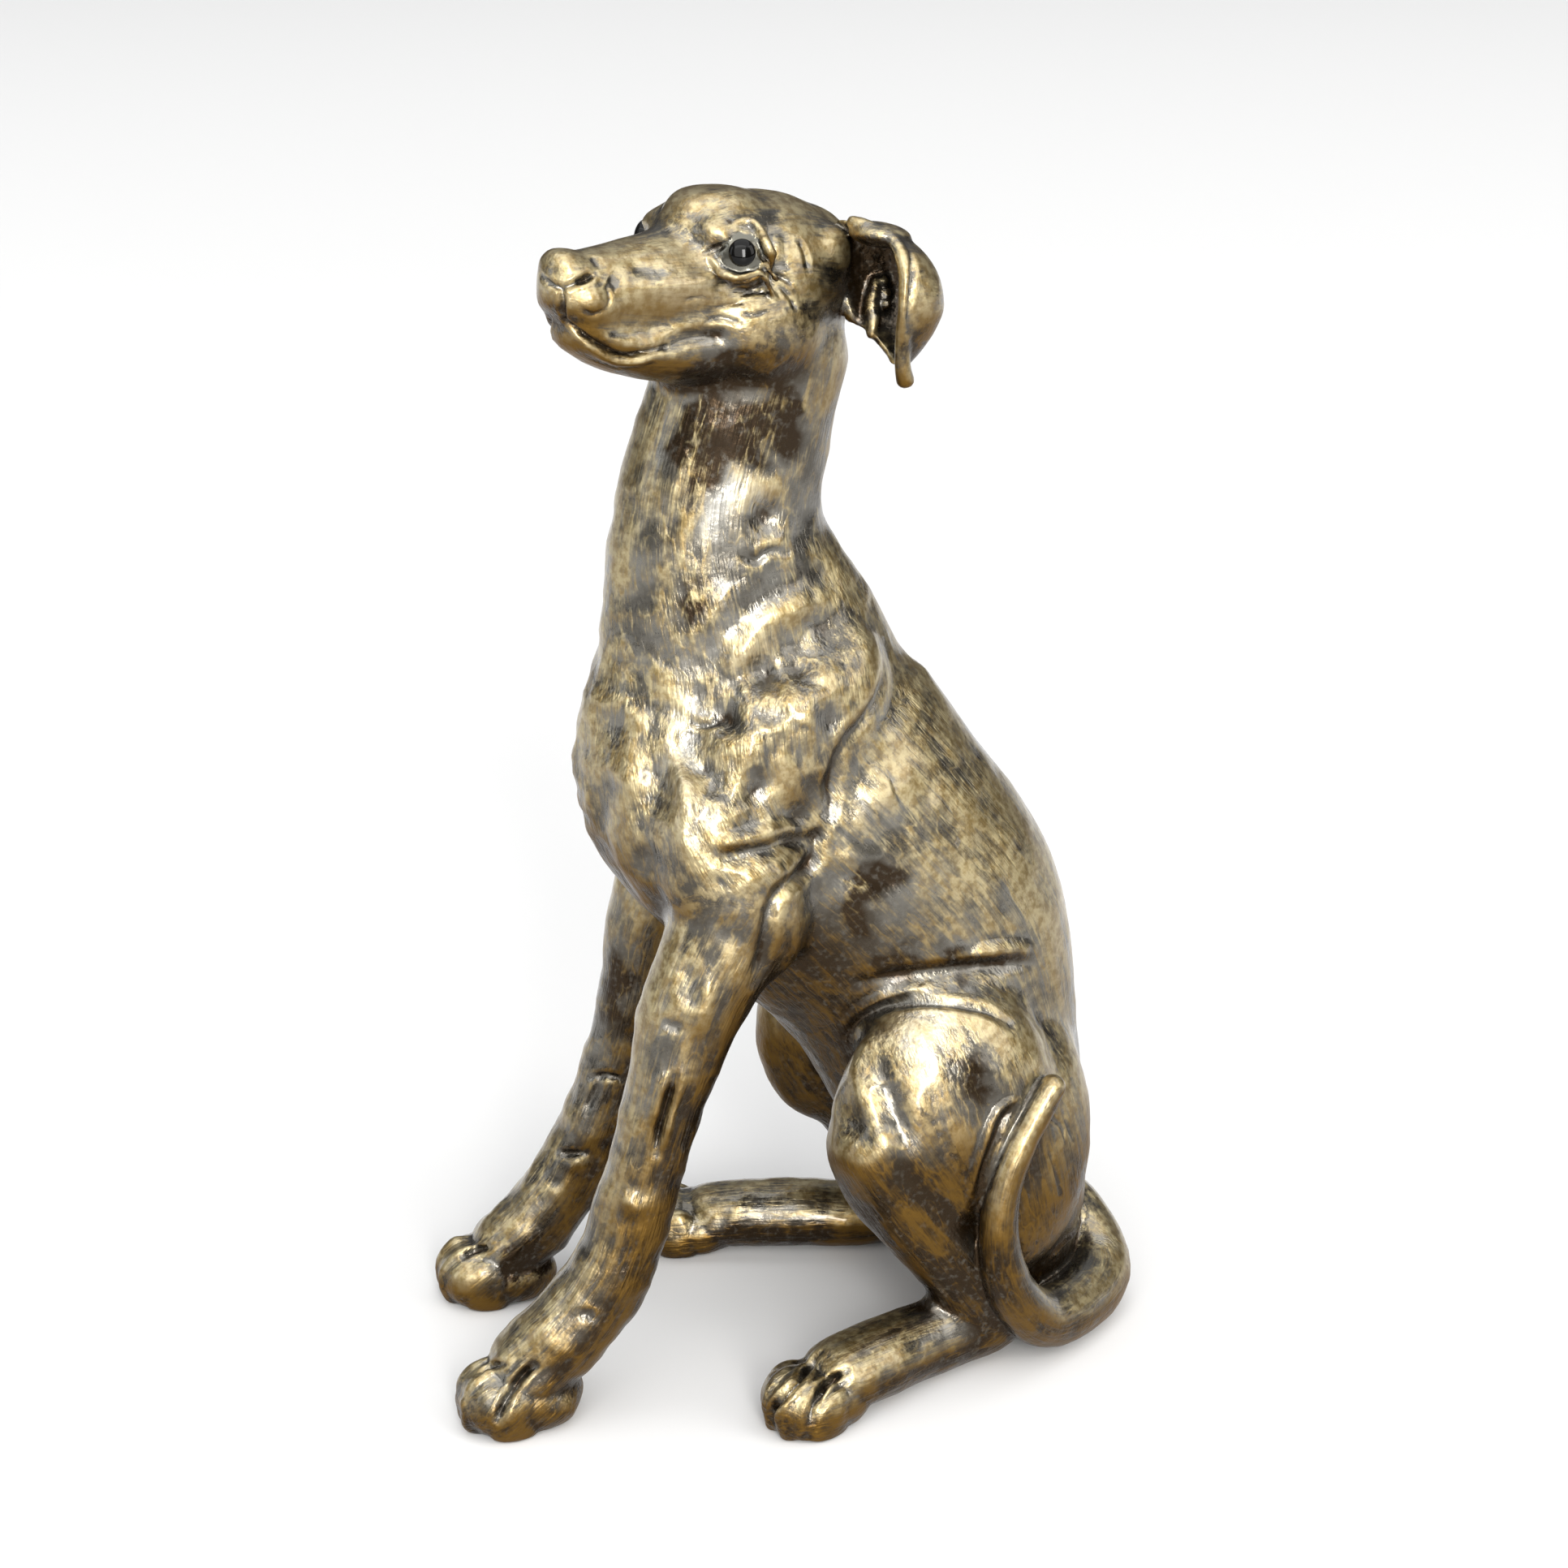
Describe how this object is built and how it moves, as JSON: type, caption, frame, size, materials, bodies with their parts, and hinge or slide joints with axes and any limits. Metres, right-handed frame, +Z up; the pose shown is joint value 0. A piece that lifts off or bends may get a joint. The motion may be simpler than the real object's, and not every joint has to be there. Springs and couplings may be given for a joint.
{
  "type": "resin dog figurine",
  "caption": "Seated sighthound ornament cast in resin, head turned to its left, tail curled up its left thigh, with inset round black eye beads.",
  "frame": {"origin": "middle of the bounding box, on the plane that the paws and rump stand on", "axes": "+Z up, the chest faces -Y, the dog's left side is +X, towards which the head turns and the tail curls"},
  "size_m": [0.0993, 0.1506, 0.2433],
  "materials": {
    "antique_gold_resin": "dark grey-brown resin with antique gold metallic paint brushed over the high places, satin",
    "black_gloss_eye": "high gloss black"
  },
  "bodies": {
    "root": {"dog_body": "antique_gold_resin", "eye_bead_left": "black_gloss_eye", "eye_bead_right": "black_gloss_eye"}
  },
  "joints": []
}
